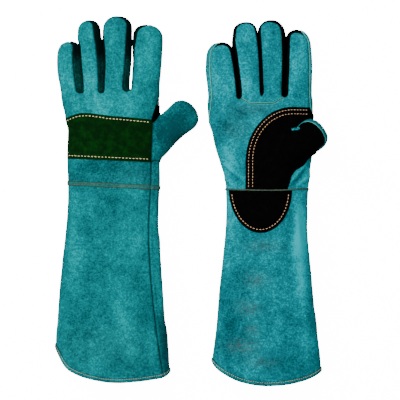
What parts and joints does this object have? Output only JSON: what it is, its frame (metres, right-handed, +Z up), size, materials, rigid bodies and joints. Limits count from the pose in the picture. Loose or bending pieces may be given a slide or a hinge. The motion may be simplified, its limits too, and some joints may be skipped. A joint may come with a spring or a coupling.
{
  "type": "welding gloves",
  "caption": "Pair of long suede gauntlet gloves with patched knuckles, palm and wrist, hollow lined fingers and wide flared cuffs, one lying palm down and one palm up.",
  "frame": {"origin": "on the table, below the centre of the pair's bounding box", "axes": "+Z up from the table, +Y towards the fingertips, +X towards the thumb side of both gloves; the left glove lies palm down at -X and the right glove palm up at +X"},
  "size_m": [0.3758, 0.5141, 0.0755],
  "materials": {
    "teal_suede": "rough split suede",
    "black_leather": "smooth matt grain",
    "green_leather": "smooth matt grain",
    "welt_leather": "matt",
    "fleece_lining": "soft fleece",
    "canvas_lining": "plain cotton canvas"
  },
  "bodies": {
    "left_hand": {"left_back_of_hand": "teal_suede", "left_palm": "teal_suede", "left_hand_lining": "fleece_lining", "left_knuckle_patch": "green_leather", "left_palm_patch": "black_leather"},
    "left_index_finger": {"left_index_finger_fourchette": "black_leather", "left_index_finger_back": "teal_suede", "left_index_finger_front": "teal_suede", "left_index_finger_lining": "fleece_lining"},
    "left_middle_finger": {"left_middle_finger_fourchette": "black_leather", "left_middle_finger_back": "teal_suede", "left_middle_finger_front": "teal_suede", "left_middle_finger_lining": "fleece_lining"},
    "left_ring_finger": {"left_ring_finger_fourchette": "black_leather", "left_ring_finger_back": "teal_suede", "left_ring_finger_front": "teal_suede", "left_ring_finger_lining": "fleece_lining"},
    "left_little_finger": {"left_little_finger_fourchette": "black_leather", "left_little_finger_back": "teal_suede", "left_little_finger_front": "teal_suede", "left_little_finger_lining": "fleece_lining"},
    "left_thumb": {"left_thumb_back": "teal_suede", "left_thumb_front": "black_leather", "left_thumb_lining": "fleece_lining"},
    "left_cuff": {"left_cuff_back": "teal_suede", "left_cuff_palm": "teal_suede", "left_cuff_lining": "canvas_lining", "left_wrist_welt": "welt_leather", "left_wrist_patch": "black_leather", "left_hem_binding": "teal_suede"},
    "right_hand": {"right_back_of_hand": "teal_suede", "right_palm": "teal_suede", "right_hand_lining": "fleece_lining", "right_knuckle_patch": "green_leather", "right_palm_patch": "black_leather"},
    "right_index_finger": {"right_index_finger_fourchette": "black_leather", "right_index_finger_back": "teal_suede", "right_index_finger_front": "teal_suede", "right_index_finger_lining": "fleece_lining"},
    "right_middle_finger": {"right_middle_finger_fourchette": "black_leather", "right_middle_finger_back": "teal_suede", "right_middle_finger_front": "teal_suede", "right_middle_finger_lining": "fleece_lining"},
    "right_ring_finger": {"right_ring_finger_fourchette": "black_leather", "right_ring_finger_back": "teal_suede", "right_ring_finger_front": "teal_suede", "right_ring_finger_lining": "fleece_lining"},
    "right_little_finger": {"right_little_finger_fourchette": "black_leather", "right_little_finger_back": "teal_suede", "right_little_finger_front": "teal_suede", "right_little_finger_lining": "fleece_lining"},
    "right_thumb": {"right_thumb_back": "teal_suede", "right_thumb_front": "black_leather", "right_thumb_lining": "fleece_lining"},
    "right_cuff": {"right_cuff_back": "teal_suede", "right_cuff_palm": "teal_suede", "right_cuff_lining": "canvas_lining", "right_wrist_welt": "welt_leather", "right_wrist_patch": "black_leather", "right_hem_binding": "teal_suede"}
  },
  "joints": [
    {"name": "right_glove_lift", "type": "slide", "parent": "left_cuff", "child": "right_cuff", "axis": [0, 0, 1], "range_m": [0, 0.15]},
    {"name": "left_wrist_bend", "type": "hinge", "parent": "left_cuff", "child": "left_hand", "pos_m": [-0.107, 0.019, 0.0215], "axis": [1, 0, 0], "range_deg": [0, 30]},
    {"name": "left_index_finger_curl", "type": "hinge", "parent": "left_hand", "child": "left_index_finger", "pos_m": [-0.0636, 0.15807, 0.01578], "axis": [0.9966, -0.0829, 0], "range_deg": [0, 35]},
    {"name": "left_middle_finger_curl", "type": "hinge", "parent": "left_hand", "child": "left_middle_finger", "pos_m": [-0.10445, 0.158, 0.01592], "axis": [0.998, -0.0625, 0], "range_deg": [0, 35]},
    {"name": "left_ring_finger_curl", "type": "hinge", "parent": "left_hand", "child": "left_ring_finger", "pos_m": [-0.14024, 0.15801, 0.0159], "axis": [0.9998, -0.0217, 0], "range_deg": [0, 35]},
    {"name": "left_little_finger_curl", "type": "hinge", "parent": "left_hand", "child": "left_little_finger", "pos_m": [-0.17125, 0.15836, 0.01548], "axis": [0.9916, 0.1296, 0], "range_deg": [0, 35]},
    {"name": "left_thumb_lift", "type": "hinge", "parent": "left_hand", "child": "left_thumb", "pos_m": [-0.03298, 0.09564, 0.01804], "axis": [0.6857, -0.7279, 0], "range_deg": [0, 35]},
    {"name": "right_wrist_bend", "type": "hinge", "parent": "right_cuff", "child": "right_hand", "pos_m": [0.108, 0.015, 0.021], "axis": [1, 0, 0], "range_deg": [0, 40]},
    {"name": "right_index_finger_curl", "type": "hinge", "parent": "right_hand", "child": "right_index_finger", "pos_m": [0.15244, 0.15313, 0.01577], "axis": [0.9976, -0.0696, 0], "range_deg": [0, 60]},
    {"name": "right_middle_finger_curl", "type": "hinge", "parent": "right_hand", "child": "right_middle_finger", "pos_m": [0.11435, 0.153, 0.01592], "axis": [0.9999, -0.0131, 0], "range_deg": [0, 60]},
    {"name": "right_ring_finger_curl", "type": "hinge", "parent": "right_hand", "child": "right_ring_finger", "pos_m": [0.08015, 0.15304, 0.01591], "axis": [0.9944, 0.1056, 0], "range_deg": [0, 60]},
    {"name": "right_little_finger_curl", "type": "hinge", "parent": "right_hand", "child": "right_little_finger", "pos_m": [0.04222, 0.15321, 0.01558], "axis": [0.9936, 0.1128, 0], "range_deg": [0, 60]},
    {"name": "right_thumb_lift", "type": "hinge", "parent": "right_hand", "child": "right_thumb", "pos_m": [0.15328, 0.07478, 0.04603], "axis": [0.6652, -0.7467, 0], "range_deg": [0, 40]}
  ]
}
